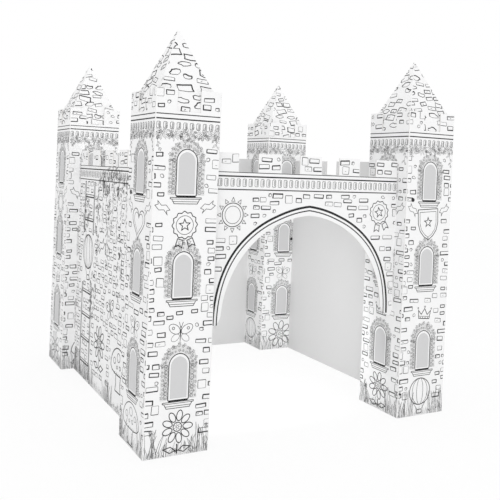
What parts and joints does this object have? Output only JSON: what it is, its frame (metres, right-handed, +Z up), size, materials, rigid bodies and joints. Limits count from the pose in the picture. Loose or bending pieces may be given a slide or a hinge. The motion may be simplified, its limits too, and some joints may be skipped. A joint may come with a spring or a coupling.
{
  "type": "cardboard play castle",
  "caption": "Folded card play castle: square corner towers with pyramid roofs and merlons, joined by plain walls and an arched entrance wall.",
  "frame": {"origin": "on the floor at the centre of the square plan", "axes": "+Z up, -Y out through the arched entrance wall, +X to the right seen from the front"},
  "size_m": [1.1048, 1.1048, 1.206],
  "materials": {
    "printed_board": "matte",
    "black_plastic": "matte"
  },
  "bodies": {
    "root": {"tower_front_left": "printed_board", "tower_front_right": "printed_board", "tower_back_right": "printed_board", "tower_back_left": "printed_board", "roof_front_left": "printed_board", "roof_front_right": "printed_board", "roof_back_right": "printed_board", "roof_back_left": "printed_board", "wall_front_arch": "printed_board", "wall_right": "printed_board", "wall_back": "printed_board", "wall_left": "printed_board", "rivets_seam": "black_plastic", "rivets_side": "black_plastic"}
  },
  "joints": []
}
